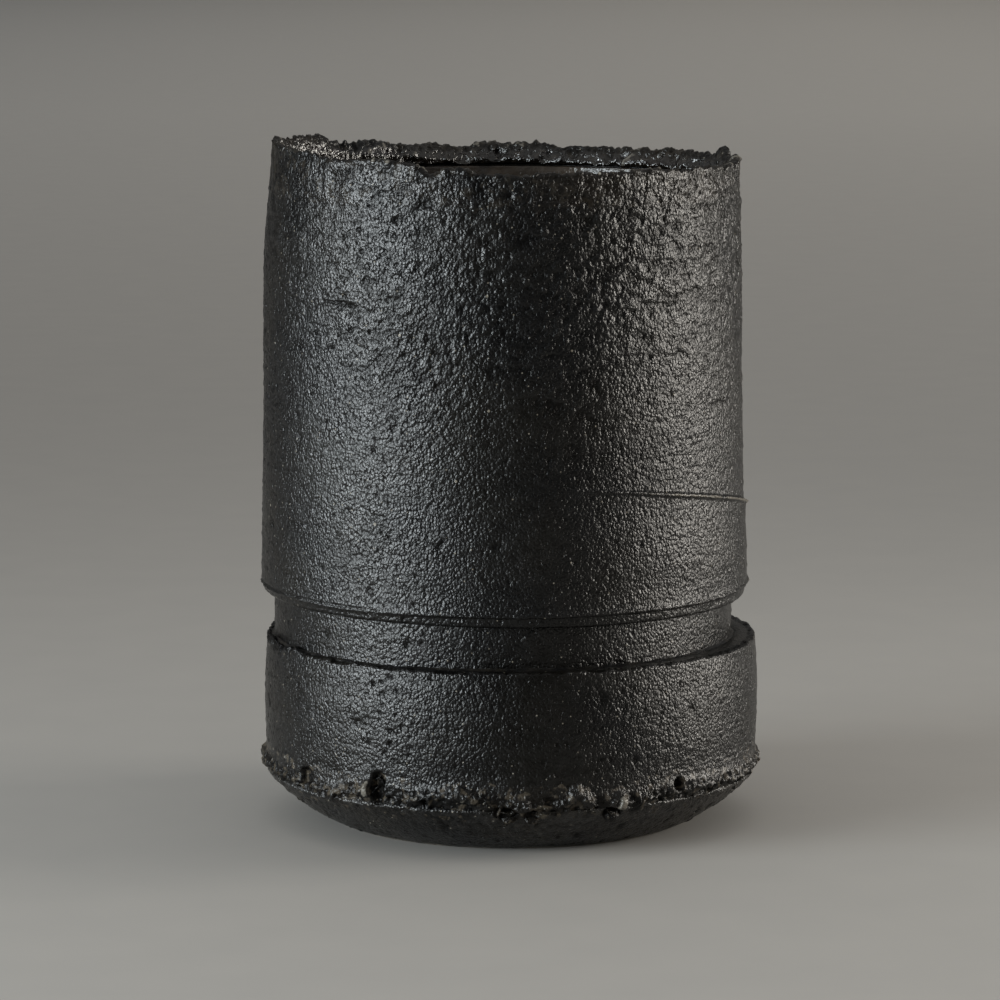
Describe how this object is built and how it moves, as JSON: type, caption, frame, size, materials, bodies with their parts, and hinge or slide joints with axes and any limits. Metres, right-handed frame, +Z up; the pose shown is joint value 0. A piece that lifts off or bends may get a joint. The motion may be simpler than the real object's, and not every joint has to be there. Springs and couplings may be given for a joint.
{
  "type": "stoneware vase",
  "caption": "Straight-sided black stoneware vase with a recessed neck band, a wide base collar, a torn seam above a bevelled foot and a ragged rim.",
  "frame": {"origin": "centre of the foot, on the plane of the table", "axes": "+Z up through the mouth; +X to the right and -Y towards the viewer, with the rim's high side at -X"},
  "size_m": [0.1686, 0.1686, 0.2266],
  "materials": {
    "satin_stoneware": "satin black over coarse grog",
    "torn_clay": "rough torn edge under a thin black glaze",
    "glossy_glaze": "glossy black",
    "joining_slip": "matt"
  },
  "bodies": {
    "root": {"foot_disc": "satin_stoneware", "base_collar": "satin_stoneware", "neck_band": "satin_stoneware", "body_wall": "satin_stoneware", "torn_foot_bead": "torn_clay", "torn_rim": "torn_clay", "glaze_liner": "glossy_glaze", "slip_foot_joint": "joining_slip", "slip_collar_joint": "joining_slip", "slip_skirt_joint": "joining_slip", "slip_rim_joint": "joining_slip"}
  },
  "joints": []
}
